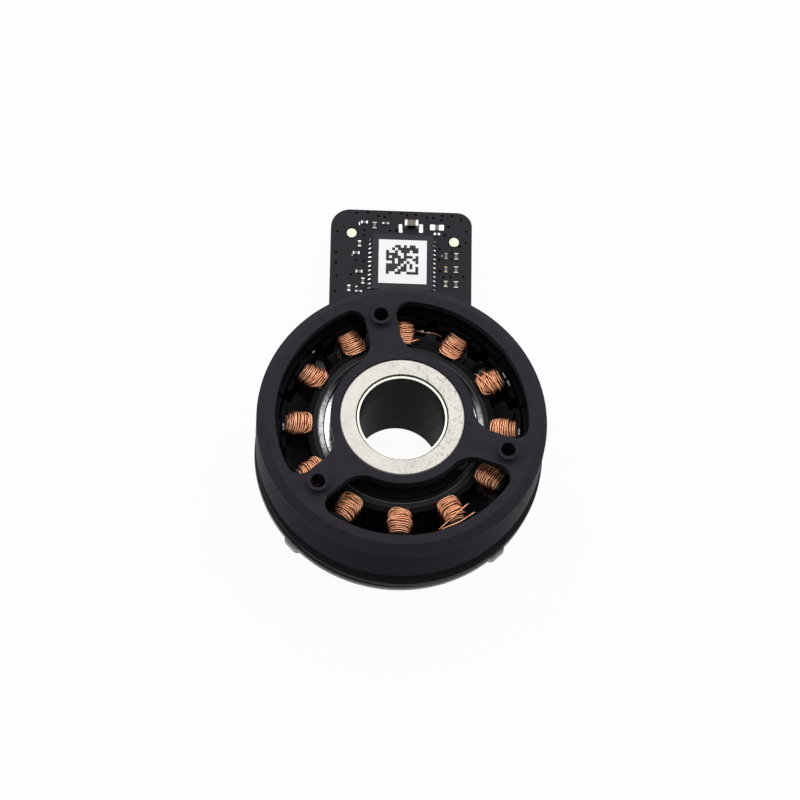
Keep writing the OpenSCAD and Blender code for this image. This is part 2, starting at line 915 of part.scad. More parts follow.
module small_passives()
{
    body = [0.3, 0.28, 0.27];
    // Across, up, then 1 where the part lies along Y
    above_shares = [[-0.262, 0.531, 0], [-0.192, 0.402, 1], [-0.114, 0.508, 0], [0.251, 0.152, 0]];
    for (p = above_shares)
        above_chip(p[0], p[1])
            rotate([0, 0, p[2] * 90])
                chip_part(passive_l, passive_w, body);
    // One part as large as the capacitor
    large_place_shares = [0.25, 0.43];
    above_chip(large_place_shares[0], large_place_shares[1])
        chip_part(capacitor_l, capacitor_w, body);
    // Side, out, along, then 1 where the part lies along Y
    beside_shares = [
        [-1, 0.23, 0.361, 1], [-1, 0.315, 0.189, 0], [-1, 0.229, -0.15, 0],
        [-1, 0.129, -0.317, 1], [-1, 0.492, -0.456, 1], [-1, 0.229, -0.507, 0],
        [1, 0.266, 0.189, 1], [1, 0.266, -0.053, 1], [1, 0.266, -0.325, 1],
        [1, 0.557, 0.186, 1], [1, 0.557, -0.057, 1], [1, 0.557, -0.329, 1]
    ];
    for (p = beside_shares)
        beside_chip(p[0], p[1], p[2])
            rotate([0, 0, p[3] * 90])
                chip_part(passive_l, passive_w, body);
}

module position_sensor()
{
    color([0.12, 0.12, 0.13])
    translate([-sensor_l / 2, (magnet_in_r + magnet_r) / 2 - sensor_w / 2, board_top])
        cube([sensor_l, sensor_w, sensor_h]);
}

base_plate();
bearing_housing();
translate([0, 0, lower_bearing_z]) outer_race();  // lower_outer_race
translate([0, 0, upper_bearing_z]) outer_race();  // upper_outer_race
translate([0, 0, lower_bearing_z]) shields();  // lower_shields
translate([0, 0, upper_bearing_z]) shields();  // upper_shields
outer_spacer();
translate([0, 0, lower_bearing_z]) cage();  // lower_cage
translate([0, 0, upper_bearing_z]) cage();  // upper_cage
translate([0, 0, lower_bearing_z]) balls();  // lower_balls
translate([0, 0, upper_bearing_z]) balls();  // upper_balls
translate([0, 0, lower_bearing_z]) inner_race();  // lower_inner_race
translate([0, 0, upper_bearing_z]) inner_race();  // upper_inner_race
inner_spacer();
stator_core();
upper_insulator();
lower_insulator();
phase_leads();
circuit_board();
driver_chip();
chip_pads();
chip_label();
supply_capacitor();
small_passives();
position_sensor();
rotor_bell();
flux_ring();
hollow_shaft();
cable_tube();
retaining_ring();
for (i = [1:tooth_count])
    coil(i);
for (i = [1:magnet_count])
    magnet(i);
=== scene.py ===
"""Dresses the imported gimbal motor: the photo's camera, a pale floor, soft light, a material for
each CAD piece, and the small forms that the CAD leaves out."""
import math
import random

import bpy
from mathutils import Matrix, Vector

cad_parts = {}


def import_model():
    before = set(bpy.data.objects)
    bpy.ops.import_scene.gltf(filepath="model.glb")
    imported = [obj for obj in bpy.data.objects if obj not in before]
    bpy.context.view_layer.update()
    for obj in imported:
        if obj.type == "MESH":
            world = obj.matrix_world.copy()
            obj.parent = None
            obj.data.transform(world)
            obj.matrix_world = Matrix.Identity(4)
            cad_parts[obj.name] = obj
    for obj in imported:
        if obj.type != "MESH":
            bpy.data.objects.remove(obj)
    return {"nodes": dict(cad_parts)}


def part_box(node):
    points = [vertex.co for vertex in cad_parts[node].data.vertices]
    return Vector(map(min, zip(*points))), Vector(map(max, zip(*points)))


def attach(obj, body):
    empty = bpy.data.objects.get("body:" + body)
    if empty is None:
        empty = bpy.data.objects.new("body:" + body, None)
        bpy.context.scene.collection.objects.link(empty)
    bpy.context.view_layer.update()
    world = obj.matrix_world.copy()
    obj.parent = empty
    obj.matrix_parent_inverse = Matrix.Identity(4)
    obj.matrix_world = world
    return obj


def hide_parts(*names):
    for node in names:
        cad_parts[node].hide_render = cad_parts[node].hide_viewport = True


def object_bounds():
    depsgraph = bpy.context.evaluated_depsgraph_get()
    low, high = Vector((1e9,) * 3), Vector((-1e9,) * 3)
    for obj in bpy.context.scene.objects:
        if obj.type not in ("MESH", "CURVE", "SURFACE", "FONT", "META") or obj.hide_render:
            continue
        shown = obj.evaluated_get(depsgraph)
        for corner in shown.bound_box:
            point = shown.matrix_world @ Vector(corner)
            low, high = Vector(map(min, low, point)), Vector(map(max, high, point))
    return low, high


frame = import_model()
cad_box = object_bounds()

MM = 0.001
scene = bpy.context.scene


def box_mm(name):
    """The low and high corners of a CAD piece's box, in mm."""
    return [Vector(corner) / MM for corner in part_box(name)]


# Sizes in mm that the CAD's pieces give
BOARD_UNDER = box_mm("circuit_board")[0].z
BOARD_TOP = box_mm("circuit_board")[1].z
LABEL_TOP = box_mm("chip_label")[1].z
GUARD_TOP = box_mm("upper_insulator")[1].z
TUBE_TOP = box_mm("cable_tube")[1].z
BELL_R = box_mm("rotor_bell")[1].x
CHIP_LOW, CHIP_HIGH = box_mm("driver_chip")
CHIP_MID = (CHIP_LOW + CHIP_HIGH) / 2


# Meshes, all in mm in the row frame

def strips(rings, sides):
    """The faces between rings of points that follow one another."""
    faces = []
    for i in range(rings - 1):
        for k in range(sides):
            a, b = i * sides + k, i * sides + (k + 1) % sides
            faces.append((a, b, b + sides, a + sides))
    return faces


def caps(rings, sides):
    """A face over the first ring of points and one over the last."""
    start = (rings - 1) * sides
    return [tuple(reversed(range(sides))), tuple(range(start, start + sides))]


def outline(x, y, w, h, r, z, turn=0.0, steps=5):
    """Points of a rounded rectangle round (x, y) at height z."""
    least = 1e-4
    r = max(min(r, w / 2 - least, h / 2 - least), least)
    c, s = math.cos(turn), math.sin(turn)
    ring = []
    for corner_x, corner_y, start in ((w / 2 - r, h / 2 - r, 0), (r - w / 2, h / 2 - r, 90),
                                      (r - w / 2, r - h / 2, 180), (w / 2 - r, r - h / 2, 270)):
        for k in range(steps + 1):
            a = math.radians(start + 90 * k / steps)
            px, py = corner_x + r * math.cos(a), corner_y + r * math.sin(a)
            ring.append((x + px * c - py * s, y + px * s + py * c, z))
    return ring


class Mesh:
    """Points and faces, to be made into one object. A slot is the place of a face's material in
    the list that make is given."""

    def __init__(self):
        self.points = []
        self.faces = []
        self.slots = []

    def add(self, points, faces, slot=0):
        base = len(self.points)
        self.points += [tuple(p) for p in points]
        self.faces += [tuple(base + i for i in f) for f in faces]
        self.slots += [slot] * len(faces)

    def tube(self, path, radius, slot=0, sides=8):
        """A round tube along a path."""
        path = [Vector(p) for p in path]
        last = len(path) - 1
        normal = (path[1] - path[0]).orthogonal()
        points = []
        for i, p in enumerate(path):
            along = (path[min(i + 1, last)] - path[max(i - 1, 0)]).normalized()
            normal = (normal - along * normal.dot(along)).normalized()
            side = along.cross(normal)
            for k in range(sides):
                a = 2 * math.pi * k / sides
                points.append(p + radius * (math.cos(a) * normal + math.sin(a) * side))
        self.add(points, strips(len(path), sides) + caps(len(path), sides), slot)

    def loft(self, rings, slot=0, capped=True):
        """Skins rings that have the same number of points."""
        sides = len(rings[0])
        faces = strips(len(rings), sides)
        if capped:
            faces += caps(len(rings), sides)
        self.add([p for ring in rings for p in ring], faces, slot)

    def pillow(self, x, y, w, h, z, t, corner=0.25, soft=0.35, turn=0.0, slot=0, steps=5):
        """A rounded slab round (x, y), from height z to z + t: its edge leans in and its top is
        gently crowned. corner is a share of the shorter side, soft a share of the thickness."""
        short = min(w, h)
        r = short * min(corner, 0.499)
        lean = min(t * soft, short * 0.2)
        rings = []
        for inset, height in ((0, 0), (0, t - lean), (lean * 0.3, t - lean * 0.3), (lean, t),
                              (short * 0.3, t * 1.01)):
            rings.append(outline(x, y, w - 2 * inset, h - 2 * inset,
                                 max(r - inset, short * 0.02), z + height, turn, steps))
        self.loft(rings, slot)

    def disc(self, x, y, d, z, t, slot, steps):
        """A thin round slab, with so many steps in each quarter of its edge."""
        self.pillow(x, y, d, d, z, t, corner=0.499, soft=0.3, slot=slot, steps=steps)

    def lathe(self, profile, segments=160):
        """Turns a closed profile of (radius, z) about Z."""
        n = len(profile)
        points = []
        faces = []
        for i in range(segments):
            a = 2 * math.pi * i / segments
            points += [(r * math.cos(a), r * math.sin(a), z) for r, z in profile]
            j = (i + 1) % segments
            for k in range(n):
                m = (k + 1) % n
                faces.append((i * n + k, j * n + k, j * n + m, i * n + m))
        self.add(points, faces)

    def make(self, name, body, materials, sharp=35):
        """Makes the object in metres, on a body. materials are keys. Edges sharper than so many
        degrees aren't smoothed."""
        data = bpy.data.meshes.new(name)
        data.from_pydata([Vector(p) * MM for p in self.points], [], self.faces)
        for material in materials:
            data.materials.append(MATERIALS[material])
        data.polygons.foreach_set("material_index", self.slots)
        data.update()
        obj = bpy.data.objects.new(name, data)
        scene.collection.objects.link(obj)
        data.polygons.foreach_set("use_smooth", [True] * len(data.polygons))
        data.set_sharp_from_angle(angle=math.radians(sharp))
        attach(obj, body)
        return obj


# Materials

class Shade:
    """One procedural material round a Principled shader."""

    # Places of the colour sockets on a Mix node
    MIX_A, MIX_B, MIX_OUT = 6, 7, 2

    def __init__(self, name, color, rough, metal=0.0, **sockets):
        self.mat = bpy.data.materials.new(name)
        self.mat.use_nodes = True
        self.tree = self.mat.node_tree
        self.tree.nodes.clear()
        self.out = self.node("ShaderNodeOutputMaterial")
        self.bsdf = self.node("ShaderNodeBsdfPrincipled")
        self.link(self.bsdf.outputs[0], self.out.inputs[0])
        self.bsdf.inputs["Base Color"].default_value = (*color, 1)
        self.bsdf.inputs["Roughness"].default_value = rough
        self.bsdf.inputs["Metallic"].default_value = metal
        for key, value in sockets.items():
            self.bsdf.inputs[key.replace("_", " ")].default_value = value
        self.place = self.node("ShaderNodeTexCoord").outputs["Object"]
        self.bumps = None

    def node(self, kind, **props):
        node = self.tree.nodes.new(kind)
        for key, value in props.items():
            setattr(node, key, value)
        return node

    def link(self, output, socket):
        self.tree.links.new(output, socket)

    def feed(self, value, socket):
        """Links a node's output to a socket, or sets the socket to a number or a colour."""
        if hasattr(value, "is_linked"):
            self.link(value, socket)
        else:
            socket.default_value = (*value, 1) if isinstance(value, tuple) else value

    def axis(self, which):
        """The place along X, Y or Z, in metres."""
        split = self.node("ShaderNodeSeparateXYZ")
        self.link(self.place, split.inputs[0])
        return split.outputs[which]

    def cells(self, kind, per_mm, **props):
        """A texture node with so many cells per mm along each axis."""
        at = self.node("ShaderNodeMapping")
        at.inputs["Scale"].default_value = [count / MM for count in per_mm]
        self.link(self.place, at.inputs["Vector"])
        texture = self.node(kind, **props)
        self.link(at.outputs[0], texture.inputs["Vector"])
        return texture

    def noise(self, per_mm, detail=3.0, rough=0.55, stretch=(1, 1, 1), distort=0.0):
        """Noise of so many cells per mm, from 0 to 1."""
        texture = self.cells("ShaderNodeTexNoise", stretch)
        texture.inputs["Scale"].default_value = per_mm
        texture.inputs["Detail"].default_value = detail
        texture.inputs["Roughness"].default_value = rough
        texture.inputs["Distortion"].default_value = distort
        return texture.outputs["Fac"]

    def ramp(self, value, *stops):
        """Numbers or colours between stops of (position, number or colour)."""
        ramp = self.node("ShaderNodeValToRGB")
        while len(ramp.color_ramp.elements) < len(stops):
            ramp.color_ramp.elements.new(0.5)
        for element, (position, color) in zip(ramp.color_ramp.elements, stops):
            element.position = position
            element.color = (*(color if isinstance(color, tuple) else (color,) * 3), 1)
        self.link(value, ramp.inputs[0])
        return ramp.outputs[0]

    def fade(self, value, low_mm, high_mm, at_low=0.0, at_high=1.0):
        """A smooth change between two distances, and even beyond them."""
        fade = self.node("ShaderNodeMapRange", interpolation_type="SMOOTHSTEP")
        self.link(value, fade.inputs["Value"])
        fade.inputs["From Min"].default_value = low_mm * MM
        fade.inputs["From Max"].default_value = high_mm * MM
        fade.inputs["To Min"].default_value = at_low
        fade.inputs["To Max"].default_value = at_high
        return fade.outputs[0]

    def math(self, operation, *values, clamp=False):
        node = self.node("ShaderNodeMath", operation=operation, use_clamp=clamp)
        for value, socket in zip(values, node.inputs):
            self.feed(value, socket)
        return node.outputs[0]

    def mix(self, share, a, b, blend="MIX"):
        """Colour a where the share is 0, and colour b where it is 1."""
        node = self.node("ShaderNodeMix", data_type="RGBA", blend_type=blend)
        self.feed(share, node.inputs["Factor"])
        self.feed(a, node.inputs[self.MIX_A])
        self.feed(b, node.inputs[self.MIX_B])
        return node.outputs[self.MIX_OUT]

    def color(self, socket):
        self.link(socket, self.bsdf.inputs["Base Color"])

    def rough(self, socket):
        self.link(socket, self.bsdf.inputs["Roughness"])

    def bump(self, height, strength, depth_mm):
        """Adds a relief to those that are there."""
        node = self.node("ShaderNodeBump")
        node.inputs["Strength"].default_value = strength
        node.inputs["Distance"].default_value = depth_mm * MM
        self.link(height, node.inputs["Height"])
        if self.bumps:
            self.link(self.bumps, node.inputs["Normal"])
        self.bumps = node.outputs[0]
        self.link(self.bumps, self.bsdf.inputs["Normal"])


def times(color, factors):
    """A colour times one factor or a factor for each channel, at most 1."""
    factors = factors if isinstance(factors, tuple) else (factors,) * 3
    return tuple(min(1, c * f) for c, f in zip(color, factors))


def anodised(name, dark, pale, rough, spec, shaded_wall=None):
    """Fine blasted aluminium under a black anodised layer. The optional pair of heights in mm sets
    a
    painted shade: the turned wall is painted darker up to the first and like the face from the
    second."""
    s = Shade(name, dark, rough, Specular_IOR_Level=spec)
    tone = s.ramp(s.noise(0.9, detail=4), (0.3, dark), (0.75, pale))
    if shaded_wall:
        # Painted shade: the wall below the face gets a darker tone than the face
        tone = s.mix(s.fade(s.axis("Z"), *shaded_wall), times(dark, (0.68, 0.61, 0.72)), tone)
    s.color(tone)
    s.rough(s.ramp(s.noise(2.2, detail=5), (0.3, rough - 0.05), (0.8, rough + 0.07)))
    s.bump(s.noise(9, detail=4, rough=0.65), 0.25, 0.006)
    return s.mat


def steel(name, color, rough, spread=0.08, grain=8.0, metal=1.0):
    """Ground or blasted metal with a fine uneven grain."""
    s = Shade(name, color, rough, metal)
    s.color(s.ramp(s.noise(1.3, detail=5, rough=0.6), (0.3, times(color, 1 - spread)),
                   (0.7, times(color, 1 + spread / 2))))
    s.rough(s.ramp(s.noise(3.5, detail=4), (0.25, rough - 0.06), (0.8, rough + 0.1)))
    s.bump(s.noise(grain, rough=0.6), 0.3, 0.006)
    return s.mat


def plastic(name, color, rough, grain=12.0, bump=0.2, coat=0.0, spread=0.15, spec=0.5):
    """Plastic, resin, ceramic or dull tin, with a faint cloud in its tone."""
    s = Shade(name, color, rough, Coat_Weight=coat, Coat_Roughness=0.25, Specular_IOR_Level=spec)
    s.color(s.ramp(s.noise(1.1, detail=4), (0.3, times(color, 1 - spread)),
                   (0.75, times(color, 1 + spread))))
    s.rough(s.ramp(s.noise(4), (0.3, rough - 0.05), (0.75, rough + 0.06)))
    s.bump(s.noise(grain, rough=0.6), bump, 0.005)
    return s.mat


def base_grey():
    """Blasted aluminium, grey on the lugs and on the lower part of the edge. Higher on the edge,
    above the board's top, on the posts and in their holes it is painted near black as shade."""
    # The posts lie inside this radius, and the part of the edge without painted shade is this
    # share of its height
    posts_r, unshaded_share = 14.3, 0.45
    s = Shade("base_grey", (0.20, 0.20, 0.21), 0.5, Specular_IOR_Level=0.1)
    x, y, z = (s.axis(which) for which in "XYZ")
    square = s.math("ADD", s.math("MULTIPLY", x, x), s.math("MULTIPLY", y, y))
    inner = s.math("LESS_THAN", square, (posts_r * MM) ** 2)
    inner = s.math("MULTIPLY", inner, s.math("GREATER_THAN", z, 0.02 * MM))
    above = s.math("GREATER_THAN", z, (BOARD_TOP - 0.1) * MM)
    # Painted shade: near black above the board's top, on the posts and in their holes
    black = s.math("MAXIMUM", above, inner)
    lug = s.math("GREATER_THAN", square, ((BELL_R + 0.08) * MM) ** 2)
    low = s.math("LESS_THAN", z, unshaded_share * BOARD_UNDER * MM)
    grey = s.ramp(s.noise(1.3, detail=5, rough=0.6), (0.3, (0.30, 0.30, 0.305)),
                  (0.7, (0.42, 0.42, 0.43)))
    # Painted shade: the edge is dark above its lower part, apart from the lugs
    edge = s.mix(s.math("MAXIMUM", lug, low), (0.045, 0.044, 0.048), grey)
    s.color(s.mix(black, edge, (0.006, 0.006, 0.007)))
    s.link(s.math("MULTIPLY", s.math("SUBTRACT", 1.0, black), 0.5), s.bsdf.inputs["Metallic"])
    s.rough(s.ramp(s.noise(3.5, detail=4), (0.25, 0.42), (0.8, 0.56)))
    s.bump(s.noise(7, rough=0.6), 0.3, 0.006)
    return s.mat


def race_steel():
    """Ground steel with dark specks."""
    s = Shade("race_steel", (0.60, 0.60, 0.60), 0.2, metal=1.0)
    s.color(s.ramp(s.noise(3.4, rough=0.7), (0.38, (0.17, 0.17, 0.18)),
                   (0.56, (0.50, 0.51, 0.50))))
    s.rough(s.ramp(s.noise(3.5, detail=4), (0.25, 0.16), (0.8, 0.28)))
    s.bump(s.noise(8, rough=0.6), 0.15, 0.004)
    return s.mat


def reflection_painted_steel(name, color, rough, lit_until, shaded_from):
    """Bright steel with a painted reflection: bare and metallic on a stretch at each side, and
    painted near black as shade away from it. Two distances in mm from the stretch's middle say
    where the painted shade begins and where it is whole."""
    slant, nearer = 0.05, 0.5
    s = Shade(name, color, rough, Specular_IOR_Level=0.03)
    along = s.math("ADD", s.axis("Y"), nearer * MM)
    along = s.math("MULTIPLY_ADD", s.axis("X"), slant, along)
    # Painted reflection and shade: bright and metallic near the line through the left and right,
    # near black towards -Y and +Y
    bare = s.fade(s.math("ABSOLUTE", along), lit_until, shaded_from, at_low=1.0, at_high=0.0)
    specks = s.ramp(s.noise(3.4, rough=0.7), (0.38, times(color, 0.4)), (0.56, color))
    s.color(s.mix(bare, (0.010, 0.010, 0.011), specks))
    s.link(bare, s.bsdf.inputs["Metallic"])
    s.rough(s.ramp(s.noise(3.5, detail=4), (0.25, rough - 0.05), (0.8, rough + 0.08)))
    s.bump(s.noise(8, rough=0.6), 0.15, 0.004)
    return s.mat


def bright_flange():
    """Matt bright steel with faint mottling and fine dark pits, more of them on one side."""
    # How dark the pits are in the middle, and how much darker for each metre along X
    pitted, more = 0.55, 100.0
    s = Shade("flange_steel", (0.68, 0.66, 0.61), 0.5, metal=0.5)
    cloud = s.ramp(s.noise(0.45, detail=4, rough=0.6), (0.3, (0.56, 0.54, 0.49)),
                   (0.7, (0.66, 0.635, 0.585)))
    grain = s.ramp(s.noise(7, rough=0.7), (0.25, (0.86, 0.86, 0.86)), (0.6, (1.0, 1.0, 1.0)))
    pits = s.ramp(s.noise(3.1, detail=2.5, rough=0.75, distort=0.6), (0.555, 0.0), (0.66, 1.0))
    side = s.math("MULTIPLY_ADD", s.axis("X"), more, pitted)
    pits = s.math("MULTIPLY", pits, side, clamp=True)
    s.color(s.mix(pits, s.mix(1.0, cloud, grain, blend="MULTIPLY"), (0.28, 0.27, 0.24)))
    s.rough(s.ramp(s.noise(4, detail=4), (0.3, 0.36), (0.75, 0.52)))
    s.bump(s.noise(8, detail=4, rough=0.7), 0.35, 0.008)
    return s.mat


def tube_black():
    """The cable tube: black anodised, with the bare metal showing on its rim."""
    rim_depth = 0.12
    s = Shade("tube_black", (0.014, 0.0125, 0.015), 0.4, Specular_IOR_Level=0.012)
    rim = s.math("GREATER_THAN", s.axis("Z"), (TUBE_TOP - rim_depth) * MM)
    black = s.ramp(s.noise(0.8, detail=4), (0.3, (0.012, 0.0105, 0.013)),
                   (0.75, (0.018, 0.016, 0.019)))
    s.color(s.mix(rim, black, (0.66, 0.64, 0.57)))
    s.link(rim, s.bsdf.inputs["Metallic"])
    s.rough(s.ramp(s.noise(2, detail=4), (0.3, 0.34), (0.75, 0.48)))
    s.bump(s.noise(5, rough=0.6, stretch=(1, 1, 0.15)), 0.15, 0.006)
    return s.mat


def copper(name, color, rough, dark):
    """Enamelled wire. Its varnish darkens in patches, and a painted shade darkens it low between
    the teeth.
    """
    # Heights at which the painted shade on the wire begins to fade and is gone
    lit_from, lit_whole = 8.35, 9.08
    s = Shade(name, color, rough, 0.75, Coat_Weight=0.4, Coat_Roughness=0.2)
    bright = s.ramp(s.noise(0.9, detail=4, rough=0.6), (0.30, dark), (0.43, color),
                    (0.7, times(color, 1.15)))
    lit = s.fade(s.axis("Z"), lit_from, lit_whole)
    # Painted shade: below these heights the colour falls to a dark tint
    s.color(s.mix(lit, times(dark, (0.20, 0.12, 0.12)), bright))
    s.rough(s.ramp(s.noise(3), (0.3, rough - 0.06), (0.75, rough + 0.08)))
    s.bump(s.noise(10, detail=2), 0.15, 0.004)
    return s.mat


def solder_mask():
    """Black solder mask on the board, with the faint relief of its tracks."""
    s = Shade("board_black", (0.03, 0.028, 0.033), 0.45, Specular_IOR_Level=0.03)
    s.color(s.ramp(s.noise(0.5, detail=4), (0.3, (0.029, 0.0275, 0.029)),
                   (0.7, (0.032, 0.0285, 0.038))))
    tracks = s.cells("ShaderNodeTexVoronoi", (1.3, 0.8, 0.01), distance="CHEBYCHEV", feature="F1")
    tracks.inputs["Scale"].default_value = 1
    s.bump(s.ramp(tracks.outputs["Distance"], (0.25, 0.0), (0.3, 1.0)), 0.12, 0.02)
    s.rough(s.ramp(s.noise(2.5, detail=4), (0.3, 0.34), (0.75, 0.46)))
    s.bump(s.noise(14, detail=2), 0.12, 0.004)
    return s.mat


MATERIALS = {
    "bell": anodised("bell_black", (0.0300, 0.0272, 0.0345), (0.0355, 0.0322, 0.0400), 0.36,
                     spec=0.003, shaded_wall=(9.4, 10.4)),
    "housing": anodised("housing_black", (0.011, 0.011, 0.0115), (0.017, 0.0165, 0.017), 0.4,
                        spec=0.1),
    "flange": bright_flange(),
    "race": race_steel(),
    # Painted reflection and painted shade on the outer races and the shields
    "outer_race": reflection_painted_steel("outer_race_steel", (0.40, 0.41, 0.40), 0.3, lit_until=0.8, shaded_from=5.6),
    "shield": reflection_painted_steel("shield_steel", (0.86, 0.86, 0.86), 0.14, lit_until=1.8, shaded_from=4.2),
    "flux": plastic("flux_steel", (0.010, 0.010, 0.012), 0.45, spec=0.04),
    # The magnets and the stator core are painted near black as shade
    "magnet": plastic("magnet_painted_shade", (0.006, 0.006, 0.0075), 0.4, spec=0.05),
    "core": plastic("lamination", (0.006, 0.006, 0.0068), 0.5, spec=0.03),
    "guard": plastic("black_plastic", (0.0045, 0.0045, 0.0052), 0.5, spec=0.04),
    "cage": steel("cage_brass", (0.60, 0.44, 0.20), 0.35),
    "wire": copper("copper_wire", (1.0, 0.47, 0.26), 0.28, dark=(0.46, 0.14, 0.07)),
    # Darker copies of the copper: painted shade for the lower layer, the jumper and the coils'
    # cores
    "shaded_wire": copper("copper_painted_shade", (0.32, 0.10, 0.05), 0.4, dark=(0.20, 0.05, 0.025)),
    "shaded_core_wire": copper("copper_painted_deep_shade", (0.11, 0.028, 0.014), 0.5, dark=(0.06, 0.015, 0.009)),
    "base": base_grey(),
    "board": solder_mask(),
    "chip": plastic("chip_black", (0.028, 0.026, 0.034), 0.55, grain=16, bump=0.35, spec=0.2),
    "solder": steel("solder_tin", (0.74, 0.74, 0.73), 0.3, spread=0.45, grain=5, metal=0.7),
    "dull": plastic("solder_dull", (0.33, 0.33, 0.32), 0.4, grain=9, spread=0.3, spec=0.3),
    "tan": plastic("part_tan", (0.52, 0.38, 0.27), 0.45, grain=9, spread=0.25, spec=0.3),
    "lime": plastic("part_lime", (0.62, 0.66, 0.44), 0.45, grain=9, spread=0.25, spec=0.3),
    "label": plastic("label_white", (0.955, 0.95, 0.955), 0.55, grain=6, bump=0.1, spread=0.02,
                     spec=0.2),
    "print": plastic("label_print", (0.030, 0.030, 0.036), 0.5, grain=10, bump=0.1, spec=0.2),
    "pale": plastic("fiducial_pale", (0.95, 1.0, 0.76), 0.45, grain=8, bump=0.1, spread=0.03),
    "via": plastic("via_black_and_groove_shade", (0.0015, 0.0015, 0.002), 0.6, spec=0.01),
    "brown": plastic("ceramic_brown", (0.17, 0.135, 0.11), 0.45, grain=9, bump=0.15),
    "grey_top_and_highlight": plastic("part_grey_and_highlight", (0.16, 0.155, 0.16), 0.45, grain=9, bump=0.15, spec=0.3),
    "resistor": plastic("resistor_black_and_side_shade", (0.012, 0.010, 0.009), 0.4, grain=9, bump=0.1,
                        spec=0.1),
    "glue": plastic("glue_pale", (0.24, 0.24, 0.26), 0.35, grain=5, bump=0.6, coat=0.3),
    "tube": tube_black(),
}

# The material of each CAD piece, apart from the magnets and the coils
WEAR = {
    "rotor_bell": "bell", "bearing_housing": "housing", "hollow_shaft": "flange",
    "cable_tube": "tube", "flux_ring": "flux", "stator_core": "core",
    "upper_insulator": "guard", "lower_insulator": "guard", "retaining_ring": "race",
    "upper_outer_race": "outer_race", "lower_outer_race": "outer_race", "upper_inner_race": "race",
    "lower_inner_race": "race", "outer_spacer": "race", "inner_spacer": "race",
    "upper_balls": "race", "lower_balls": "race", "upper_shields": "shield",
    "lower_shields": "shield", "upper_cage": "cage", "lower_cage": "cage",
    "base_plate": "base", "circuit_board": "board", "driver_chip": "chip",
    "chip_pads": "solder", "chip_label": "label", "position_sensor": "chip",
    "supply_capacitor": "brown", "small_passives": "resistor", "phase_leads": "wire",
}


def wear():
    """Gives each CAD piece its material."""
    for name, obj in frame["nodes"].items():
        key = WEAR.get(name) or ("magnet" if name.startswith("magnet") else "shaded_core_wire")
        material = MATERIALS[key]
        if not obj.material_slots:
            obj.data.materials.append(material)
        for slot in obj.material_slots:
            slot.material = material


# Coils: one unbroken wire in two layers round a core, with painted shade on the core and on the
# lower layer

# A coil is drawn in its own frame: x outward from the motor's axis, t across the tooth, and z up
# from the middle of the core's height
COIL_COUNT = 12
TURNS = 12
WIRE_R = 0.088
CORE_MID = sum(corner.z for corner in box_mm("stator_core")) / 2
COIL_LOW, COIL_HIGH = box_mm("coil_1")
HALF_W = COIL_HIGH.x - 0.01
HALF_H = (COIL_HIGH.z - COIL_LOW.z) / 2 - 0.01
COIL_OUT = COIL_HIGH.y - 0.02
# The heads reach in over the core's ring, from a height a little under the turns' top
HEAD_IN = COIL_LOW.y - 0.21
HEAD_REACH = 0.82
HEAD_LOW = HALF_H - 0.45
COIL_IN = HEAD_IN + HEAD_REACH
# Where the wire's first turn and its last one lie
FIRST, LAST = COIL_IN + WIRE_R, COIL_OUT - WIRE_R
# How much lower and narrower the turns at a coil's ends are than those in the middle
END_FALL, END_NARROW = 0.26, 0.16
# How far the core, painted dark as shade, lies inside the turns, across and in height
CORE_SINK_W, CORE_SINK_H = 0.40, 0.42


def oblong(half_w, half_h, r, crown, steps=5):
    """A turn's points round the tooth, from the middle of its underside: a rounded oblong whose
    top and underside are a little crowned. The second half is the first one turned over."""
    w, h = half_w - r, half_h - r
    shares = [k / steps for k in range(steps)]

    def corner(middle, start):
        angles = [math.radians(start + 90 * k / steps) for k in range(steps + 1)]
        return [(w + r * math.cos(a), middle + r * math.sin(a)) for a in angles]

    half = [(w * f, -half_h - crown * (1 - f * f)) for f in shares]
    half += corner(-h, -90)
    half += [(half_w, -h * (1 - 2 * f)) for f in shares[1:]]
    half += corner(h, 0)
    half += [(w * (1 - f), half_h + crown * (1 - (1 - f) ** 2)) for f in shares]
    return half + [(-t, -z) for t, z in half]


def reach(x, z, top):
    """Over and under the core, the turns reach in over its inner ring."""
    rise = min(max((abs(z) - HEAD_LOW) / (top - HEAD_LOW), 0), 1)
    rise = rise * (2 - rise)
    return x - HEAD_REACH * rise * (COIL_OUT - x) / (COIL_OUT - COIL_IN)


def barrel(x):
    """How far the coil's form falls away at x, from 0 in the middle to 1 at its two ends."""
    u = (2 * x - HEAD_IN - COIL_OUT) / (COIL_OUT - HEAD_IN)
    return abs(u) ** 2.4


def coil_frame(i):
    """A function that takes a point from coil i's own frame to the row frame."""
    a = math.radians(90 - (i - 1) * 360 / COIL_COUNT)
    out = Vector((math.cos(a), math.sin(a), 0))
    across = Vector((-math.sin(a), math.cos(a), 0))
    return lambda x, t, z: out * x + across * t + Vector((0, 0, CORE_MID + z))


def coil_core(mesh, at, slot):
    """The middle of a coil, painted dark as shade: a block with a hole for its tooth, and a pad
    in each head.
    """
    half_w, half_h, corner_r = HALF_W - CORE_SINK_W, HALF_H - CORE_SINK_H, 0.35
    hole_w, hole_h, hole_r = 0.90, 2.09, 0.1
    taper, end_share = 0.25, 0.94
    rings = []
    for x, share in ((COIL_IN, end_share), (COIL_IN + taper, 1.0), (COIL_OUT - taper, 1.0),
                     (COIL_OUT, end_share)):
        ring = oblong(half_w * share, half_h * share, corner_r, 0)
        rings.append([at(x, t, z) for t, z in ring])
    for x in (COIL_OUT, COIL_IN):
        rings.append([at(x, t, z) for t, z in oblong(hole_w, hole_h, hole_r, 0)])
    mesh.loft(rings + [rings[0]], slot, capped=False)
    pad_w, pad_low, bevel = 1.0, 2.10, 0.1
    section = ((-pad_w, pad_low), (pad_w, pad_low), (pad_w, half_h - bevel / 2),
               (pad_w - bevel, half_h), (bevel - pad_w, half_h), (-pad_w, half_h - bevel / 2))
    for side in (-1, 1):
        ends = [[at(x, side * t, side * z) for t, z in section]
                for x in (HEAD_IN + 0.2, COIL_IN + 0.05)]
        mesh.loft(ends, slot)


